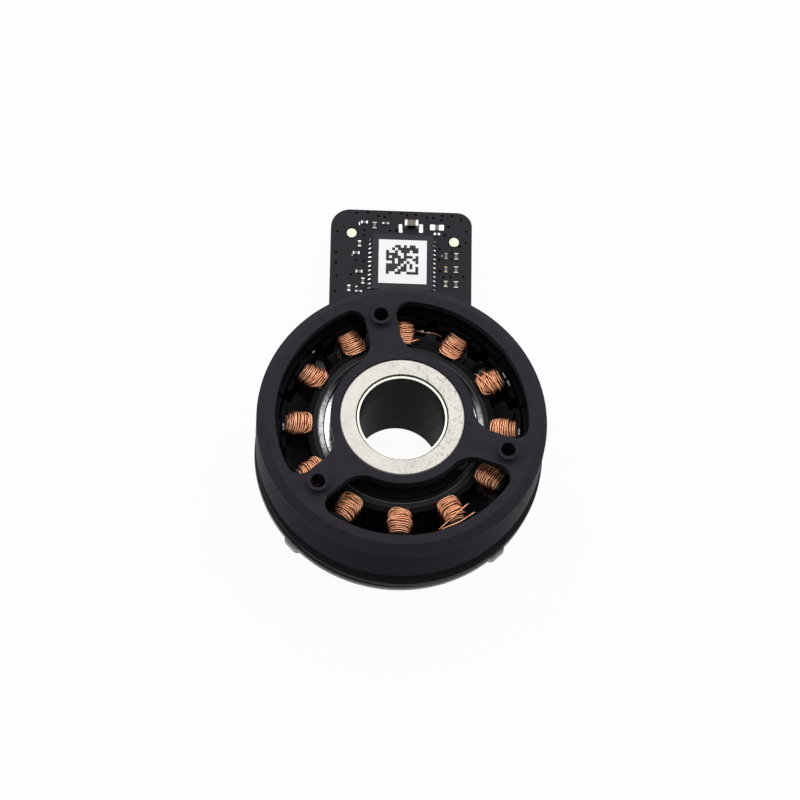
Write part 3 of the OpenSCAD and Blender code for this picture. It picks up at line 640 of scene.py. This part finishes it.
def wire_layer(rng, stops, drop, wobble, slant):
    """Points of one layer of turns in the coil's own frame. stops are where its turns lie along
    the tooth, drop is its depth under the coil's top, and wobble and slant make it uneven."""
    sinks = [rng.uniform(0, wobble) for _ in stops]
    slants = [rng.uniform(-slant, slant) for _ in stops]
    crown, loose = 0.09, 0.14
    points = []
    for k in range(TURNS):
        fall = barrel(stops[k])
        top = HALF_H - WIRE_R - (drop + sinks[k] + END_FALL * fall)
        wide = HALF_W - WIRE_R - drop * 0.8 - rng.uniform(0, loose) - END_NARROW * fall
        turn = oblong(wide, top - crown, rng.uniform(0.5, 0.8), crown)
        for j, (t, z) in enumerate(turn):
            f = j / len(turn)
            x = stops[k] + (stops[k + 1] - stops[k]) * f * f * (3 - 2 * f)
            x += (slants[k] * (1 - f) + slants[k + 1] * f) * math.sin(2 * math.pi * f)
            points.append((reach(min(max(x, FIRST), LAST), z, top), t, z))
    return points


def winding(i):
    """Coil i. Its wire goes out along the tooth, and back in over its own first layer."""
    rng = random.Random(40 + i)
    at = coil_frame(i)
    mesh = Mesh()
    coil_core(mesh, at, slot=1)
    step = (LAST - FIRST) / TURNS
    out = [FIRST + step * k for k in range(TURNS + 1)]
    back = [LAST - step * k + rng.uniform(-0.07, 0.07) * (0 < k < TURNS)
            for k in range(TURNS + 1)]
    under = [at(*p) for p in wire_layer(rng, out, drop=0.17, wobble=0.02, slant=0.03)]
    over = [at(*p) for p in wire_layer(rng, back, drop=0.0, wobble=0.10, slant=0.12)]
    # The lower layer wears the darker copper, a painted shade between the upper turns
    mesh.tube(under, WIRE_R, slot=2)
    mesh.tube([under[-1]] + over, WIRE_R, slot=0)
    obj = mesh.make("winding_%d" % i, "stator", ["wire", "shaded_core_wire", "shaded_wire"],
                    sharp=60)
    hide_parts("coil_%d" % i)


# Small forms on the coils and the bearing

# Ends of wire, each from where it leaves one coil to where it dips beside another
STRAY_WIRES = (
    ((4.20, -12.02, 8.3), (4.42, -11.80, 8.9), (5.75, -10.55, 9.2), (7.10, -9.18, 9.12),
     (7.40, -8.85, 8.8)),
    ((4.35, -12.08, 8.3), (4.80, -11.86, 9.0), (6.40, -11.15, 9.18), (7.80, -10.14, 9.18),
     (8.05, -9.90, 9.0)),
    ((0.05, 9.78, 9.1), (0.75, 9.70, 9.2), (1.40, 9.98, 9.2), (1.85, 10.25, 8.8)),
    ((7.95, 6.30, 8.9), (8.30, 5.95, 9.2), (9.10, 5.15, 9.24), (9.90, 4.25, 9.2),
     (10.05, 4.00, 8.8)),
    ((8.60, 6.75, 8.8), (9.00, 6.30, 9.2), (9.90, 5.60, 9.22), (10.60, 4.70, 9.15),
     (10.75, 4.45, 8.8)),
)
STRAY_R = 0.085
# The varnished wire between two coils
JUMPER = ((1.20, 11.40, 8.5), (1.90, 11.25, 8.75), (2.70, 11.11, 8.7), (3.45, 11.02, 8.8),
          (4.30, 10.80, 8.5))
JUMPER_R = 0.11
# Drops on it: centre x and y, length, width, height and turn
JUMPER_DROPS = ((2.15, 11.22, 0.42, 0.26, 0.26, -0.2), (2.85, 11.12, 0.30, 0.20, 0.22, 0.3))
JUMPER_DROP_Z = 8.66
# Groups of three drops on the guards: angle in degrees, radius, and the step between the drops
DROPS = ((29, 12.72, 0.18), (24.5, 12.75, 0.24), (-1.8, 12.76, 0.252), (-176.8, 12.76, 0.252),
         (139.5, 12.72, 0.072))


def bend(points, steps=8):
    """A smooth line through the points (Catmull-Rom)."""
    p = [Vector(q) for q in points]
    p = [2 * p[0] - p[1]] + p + [2 * p[-1] - p[-2]]
    line = []
    for k in range(1, len(p) - 2):
        for j in range(steps):
            u = j / steps
            line.append(0.5 * ((2 * p[k]) + (p[k + 1] - p[k - 1]) * u
                               + (2 * p[k - 1] - 5 * p[k] + 4 * p[k + 1] - p[k + 2]) * u * u
                               + (3 * p[k] - p[k - 1] - 3 * p[k + 1] + p[k + 2]) * u ** 3))
    line.append(p[-2])
    return line


def thin_ring(name, corner, foot, top, material):
    """A thin line on a bearing piece's upper face. corner is the high corner of the piece's box,
    and foot and top say how far inside its rim the line's two edges lie, below and above."""
    low, high = corner.z + 0.003, corner.z + 0.02
    mesh = Mesh()
    mesh.lathe([(corner.x - foot[0], low), (corner.x - foot[1], low),
                (corner.x - top[1], high), (corner.x - top[0], high)])
    mesh.make(name, "stator", [material])


def bearing_lines():
    """A black ring of painted shade in the groove between the upper bearing's outer race and its
    shield, and a grey ring of painted highlight on the race's rim."""
    # Painted shade: a near-black ring in the groove
    thin_ring("shield_groove_shade", box_mm("upper_shields")[1], (0.15, 0.01), (0.15, 0.01), "via")
    # Painted highlight: a grey ring along the race's rim
    thin_ring("race_edge_highlight", box_mm("upper_outer_race")[1], (0.10, 0.03), (0.08, 0.05), "grey_top_and_highlight")


def stray_wires():
    """Ends of wire that lie across some of the coils."""
    mesh = Mesh()
    for points in STRAY_WIRES:
        mesh.tube(bend(points), STRAY_R)
    mesh.make("stray_wires", "stator", ["wire"], sharp=60)


def varnish():
    """Drops of pale varnish on the coils' guards, and a varnished jumper between two coils."""
    rng = random.Random(9)
    mesh = Mesh()
    for angle, r, step in DROPS:
        a = math.radians(angle)
        for k in (-1, 0, 1):
            along = step * k + rng.uniform(-0.05, 0.05)
            x = r * math.cos(a) - along * math.sin(a)
            y = r * math.sin(a) + along * math.cos(a)
            size = rng.uniform(0.16, 0.24)
            turn = a + math.pi / 2 + rng.uniform(-0.4, 0.4)
            mesh.pillow(x, y, size * 1.6, size, GUARD_TOP - 0.01, size * 0.4, corner=0.49,
                        soft=0.7, turn=turn)
    # The jumper wears the darker copper as painted shade
    mesh.tube(bend(JUMPER), JUMPER_R, slot=1)
    for x, y, length, width, tall, turn in JUMPER_DROPS:
        mesh.pillow(x, y, length, width, JUMPER_DROP_Z, tall, corner=0.49, soft=0.7, turn=turn)
    mesh.make("varnish_drops", "stator", ["glue", "shaded_wire"], sharp=60)


# The board's small parts

# Centre x and y, whether it stands along y, and the look of its ends
PASSIVES = [
    (-4.2, 27.7, 0, "bar"), (-3.05, 27.35, 1, "arc"), (-1.8, 27.65, 0, "dot"),
    (4.0, 26.5, 0, "ball"), (-4.7, 25.0, 1, "bar"), (-5.05, 23.85, 0, "bar"),
    (-4.7, 21.55, 0, "bar"), (-4.25, 20.4, 1, "bar"), (-5.8, 19.45, 1, "bar"),
    (-4.7, 19.1, 0, "dot"), (5.05, 23.8, 1, "dull"), (5.05, 22.15, 1, "tan"),
    (5.05, 20.35, 1, "lime"), (6.2, 23.8, 1, "arc"), (6.2, 22.15, 1, "arc"),
    (6.2, 20.3, 1, "arc"),
]
# Length and width of a part's end, how round it is, and its material's place in the list
ENDS = {
    "bar": (0.20, 0.38, 0.2, 0), "arc": (0.11, 0.50, 0.4, 0), "dot": (0.20, 0.26, 0.45, 0),
    "ball": (0.30, 0.36, 0.49, 0), "dull": (0.20, 0.36, 0.3, 3), "tan": (0.22, 0.36, 0.3, 4),
    "lime": (0.20, 0.40, 0.2, 5),
}
# Centre x and y, width, length and turn
BARE_PADS = [
    (-0.1, 27.1, 0.42, 1.1, 0.05), (2.2, 27.2, 0.48, 1.1, 0.0), (-4.75, 27.55, 0.12, 0.4, 0.0),
    (-5.5, 23.6, 0.12, 0.14, 0.6), (4.6, 23.85, 0.14, 0.14, 0.0), (-4.95, 19.7, 0.2, 0.2, 0.0),
]
# Centres of the vias, and of the two fiducials
VIAS = [
    (-5.1, 28.9), (-3.8, 29.0), (-1.3, 29.0), (0.0, 29.0), (0.6, 28.8), (1.6, 28.9),
    (4.6, 28.9), (5.7, 28.9), (-2.6, 28.6), (-1.9, 28.5), (2.9, 28.6), (3.6, 28.6),
    (4.5, 28.3), (6.7, 28.4), (7.3, 27.0), (7.3, 25.6), (5.3, 27.5), (4.9, 26.5),
    (-4.2, 26.8), (-4.2, 26.1), (-7.2, 26.5), (-1.3, 26.8), (-0.6, 26.8), (-7.3, 23.9),
    (-7.3, 22.6), (-7.2, 21.0), (-7.3, 19.1), (-5.1, 23.0), (-4.2, 22.9), (-5.6, 21.2),
    (4.3, 24.7), (4.3, 23.4), (6.6, 25.1), (5.7, 24.3), (5.7, 23.5), (5.6, 21.3),
    (4.4, 22.0), (7.0, 21.4), (4.8, 21.2),
]
FIDUCIALS = [(-5.6, 26.35), (5.95, 25.6)]
# Thickness of the vias, of the openings in the mask and of the label's print
SKIN = 0.012
PADS_PER_SIDE = 12
# The rows of pads stop 0.4 mm inside the chip's ends
PAD_PITCH = (CHIP_HIGH.y - CHIP_LOW.y - 2 * 0.4) / (PADS_PER_SIDE - 1)


def chip(mesh, x, y, length, width, tall, end, turn=0.0, end_w=None, corner=0.22, slot=0):
    """A chip part: a body in slot 1 with its top in slot 2, and two soldered ends. The body's
    sides and top take separate materials, so the sides can be darker than the top, as painted
    shade on the capacitor. end and end_w are an end's length and width, corner how round it is and
    slot its material."""
    c, s = math.cos(turn), math.sin(turn)
    body = length - end
    mesh.pillow(x, y, body, width * 0.92, BOARD_TOP, tall * 0.93, corner=0.08, soft=0.12,
                turn=turn, slot=1)
    mesh.pillow(x, y, body * 0.98, width * 0.88, BOARD_TOP + tall * 0.9, tall * 0.06,
                corner=0.08, soft=0.3, turn=turn, slot=2)
    for off in (-body / 2, body / 2):
        mesh.pillow(x + off * c, y + off * s, end, end_w or width, BOARD_TOP, tall, corner,
                    soft=0.3, turn=turn, slot=slot)


def passives():
    """The small chip parts, and one larger resistor."""
    length, width, tall = 0.78, 0.34, 0.18
    mesh = Mesh()
    for x, y, upright, kind in PASSIVES:
        turn = math.radians(90 * upright)
        end, end_w, corner, slot = ENDS[kind]
        chip(mesh, x, y, length, width, tall, end, turn, end_w, corner, slot)
    chip(mesh, 4.0, 27.35, length=1.60, width=0.76, tall=0.10, end=0.60)
    obj = mesh.make("chip_parts", "stator",
                    ["solder", "resistor", "grey_top_and_highlight", "dull", "tan", "lime"])
    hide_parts("small_passives")


def capacitor():
    """The tall brown capacitor at the board's end."""
    mesh = Mesh()
    chip(mesh, 1.1, 27.55, length=1.56, width=0.80, tall=0.74, end=0.34)
    # The capacitor's sides take the black resistor material as painted shade; its top is brown
    obj = mesh.make("ceramic_capacitor", "stator", ["solder", "resistor", "brown"])
    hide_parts("supply_capacitor")


def chip_feet():
    """The driver's solder joints, smaller on the right and slanted most at the rows' far ends."""
    rng = random.Random(5)
    last, straight, tall = PADS_PER_SIDE - 1, 8, 0.11
    mesh = Mesh()
    for side in (-1, 1):
        for k in range(PADS_PER_SIDE):
            y = CHIP_MID.y + (k - last / 2) * PAD_PITCH
            far = max(k - straight, 0) / (last - straight)
            if side < 0:
                x = CHIP_LOW.x - 0.25
                length, width, turn = 0.43 - 0.1 * far, 0.21 - 0.08 * far, 0.25 + 0.8 * far
            else:
                x = CHIP_HIGH.x + 0.2
                length, width, turn = 0.32, 0.17 - 0.06 * far, -0.5 - 0.3 * far
            turn += rng.uniform(-0.08, 0.08)
            dull = k in (0, last) or (side > 0 and k == last - 1)
            mesh.pillow(x, y, length, width, BOARD_TOP, tall, corner=0.45, soft=0.5, turn=turn,
                        slot=int(dull))
    obj = mesh.make("solder_joints", "stator", ["solder", "dull"])
    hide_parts("chip_pads")


def skins():
    """Bare pads, fiducials with their openings in the mask, and vias."""
    opening_d, fiducial_d, via_d = 1.38, 1.12, 0.29
    mesh = Mesh()
    for x, y, w, h, turn in BARE_PADS:
        mesh.pillow(x, y, w, h, BOARD_TOP, 0.04, soft=0.5, turn=turn)
    for x, y in FIDUCIALS:
        mesh.disc(x, y, opening_d, BOARD_TOP, SKIN, slot=2, steps=10)
        mesh.disc(x, y, fiducial_d, BOARD_TOP, SKIN * 2, slot=1, steps=10)
    for x, y in VIAS:
        mesh.disc(x, y, via_d, BOARD_TOP, SKIN, slot=2, steps=4)
    mesh.make("board_skins", "stator", ["solder", "pale", "via"])


def label_print():
    """A made-up pattern of blocks. It is no code: the blocks are drawn at random."""
    rng = random.Random(21)
    mesh = Mesh()
    cells, pitch, share = 11, 0.33, 0.62
    size = pitch * 1.02
    left = CHIP_MID.x - 0.05 - (cells - 1) / 2 * pitch
    low = CHIP_MID.y + 0.25 - (cells - 1) / 2 * pitch
    for row in range(cells):
        for column in range(cells):
            if rng.random() < share:
                mesh.pillow(left + column * pitch, low + row * pitch, size, size, LABEL_TOP,
                            SKIN, corner=0.12, soft=0.3, steps=2)
    mesh.make("label_blocks", "stator", ["print"])


# Camera, fitted to the photo

# Degrees: to the side, down, and turned about the line of sight
VIEW_SIDE, VIEW_DOWN, VIEW_ROLL = 5.9053, 66.7295, 7.3054
# Height in mm of the point on the motor's axis that it aims at, and the distance from there
AIM_Z, VIEW_DISTANCE = 10.4, 405.16
# Pixels: the image's width, the focal length, and where the line of sight meets the image
IMAGE_PX, FOCAL_PX = 800, 3758.595
SIGHT_X_PX, SIGHT_Y_PX = 401.924, 419.639
SENSOR_MM = 36


def aim_camera():
    """The photo's view."""
    side, down, roll = (math.radians(a) for a in (VIEW_SIDE, VIEW_DOWN, VIEW_ROLL))
    look = Vector((math.sin(side) * math.cos(down), math.cos(side) * math.cos(down),
                   -math.sin(down)))
    level = Vector((math.cos(side), -math.sin(side), 0))
    steep = level.cross(look)
    right = level * math.cos(roll) + steep * math.sin(roll)
    up = steep * math.cos(roll) - level * math.sin(roll)
    camera = bpy.data.cameras.new("camera")
    obj = bpy.data.objects.new("camera", camera)
    scene.collection.objects.link(obj)
    place = Vector((0, 0, AIM_Z)) - look * VIEW_DISTANCE
    turn = Matrix((right, up, -look)).transposed().to_4x4()
    obj.matrix_world = Matrix.Translation(place * MM) @ turn
    camera.sensor_width = SENSOR_MM
    camera.lens = FOCAL_PX / IMAGE_PX * SENSOR_MM
    camera.shift_x = (IMAGE_PX / 2 - SIGHT_X_PX) / IMAGE_PX
    camera.shift_y = (SIGHT_Y_PX - IMAGE_PX / 2) / IMAGE_PX
    camera.clip_start = 0.01
    camera.clip_end = 10
    scene.camera = obj


# Floor and light

# Place and size in mm, and power in watts
LAMPS = (
    ("top_back", (40, 260, 420), (420, 300), 0.68),
    ("left", (-420, 40, 160), (220, 320), 0.48),
    ("right", (420, -20, 150), (220, 320), 0.44),
)
LAMPS_AIM = Vector((0, 0, 6))
# How much of its own white the floor shows to the camera and in reflections
FLOOR_WHITE = 0.955


def floor():
    """A pale floor just under the motor."""
    half = 1.6
    z = cad_box[0].z - 0.01 * MM
    data = bpy.data.meshes.new("floor")
    data.from_pydata([(-half, -half, z), (half, -half, z), (half, half, z), (-half, half, z)],
                     [], [(0, 1, 2, 3)])
    obj = bpy.data.objects.new("floor", data)
    scene.collection.objects.link(obj)
    s = Shade("floor_white", (0.70, 0.70, 0.70), 0.9)
    s.color(s.ramp(s.noise(0.02), (0.3, (0.69, 0.69, 0.69)), (0.7, (0.71, 0.71, 0.71))))
    glow = s.node("ShaderNodeEmission")
    glow.inputs["Color"].default_value = (1, 1, 1, 1)
    glow.inputs["Strength"].default_value = 1.0
    path = s.node("ShaderNodeLightPath")
    seen = s.math("MAXIMUM", path.outputs["Is Camera Ray"], path.outputs["Is Glossy Ray"])
    seen = s.math("MAXIMUM", seen, path.outputs["Is Transmission Ray"])
    blend = s.node("ShaderNodeMixShader")
    s.link(s.math("MULTIPLY", seen, FLOOR_WHITE), blend.inputs[0])
    s.link(s.bsdf.outputs[0], blend.inputs[1])
    s.link(glow.outputs[0], blend.inputs[2])
    s.link(blend.outputs[0], s.out.inputs[0])
    data.materials.append(s.mat)


def world():
    """Soft light, dimmer from below and from the viewer's side."""
    surround = bpy.data.worlds.new("world")
    scene.world = surround
    surround.use_nodes = True
    tree = surround.node_tree
    back = tree.nodes["Background"]
    back.inputs["Color"].default_value = (1.0, 1.0, 1.0, 1)
    place = tree.nodes.new("ShaderNodeTexCoord")
    split = tree.nodes.new("ShaderNodeSeparateXYZ")
    high = tree.nodes.new("ShaderNodeMath")
    high.operation = "MULTIPLY"
    high.inputs[1].default_value = 0.75
    far = tree.nodes.new("ShaderNodeMath")
    far.operation = "MULTIPLY_ADD"
    far.inputs[1].default_value = 0.6
    strength = tree.nodes.new("ShaderNodeMapRange")
    strength.inputs["From Min"].default_value = 0.0
    strength.inputs["From Max"].default_value = 0.8
    strength.inputs["To Min"].default_value = 0.06
    strength.inputs["To Max"].default_value = 0.95
    tree.links.new(place.outputs["Generated"], split.inputs[0])
    tree.links.new(split.outputs["Z"], high.inputs[0])
    tree.links.new(split.outputs["Y"], far.inputs[0])
    tree.links.new(high.outputs[0], far.inputs[2])
    tree.links.new(far.outputs[0], strength.inputs["Value"])
    tree.links.new(strength.outputs[0], back.inputs["Strength"])


def lamp(name, at, size, power):
    """A rectangular lamp, turned to the motor."""
    data = bpy.data.lights.new(name, "AREA")
    data.shape = "RECTANGLE"
    data.size = size[0] * MM
    data.size_y = size[1] * MM
    data.energy = power
    obj = bpy.data.objects.new(name, data)
    scene.collection.objects.link(obj)
    place = Vector(at)
    obj.location = place * MM
    obj.rotation_euler = (LAMPS_AIM - place).to_track_quat("-Z", "Y").to_euler()


wear()
for i in range(1, COIL_COUNT + 1):
    winding(i)
bearing_lines()
stray_wires()
varnish()
passives()
capacitor()
chip_feet()
skins()
label_print()
aim_camera()
floor()
world()
for name, at, size, power in LAMPS:
    lamp(name, at, size, power)
scene.view_settings.view_transform = "Standard"
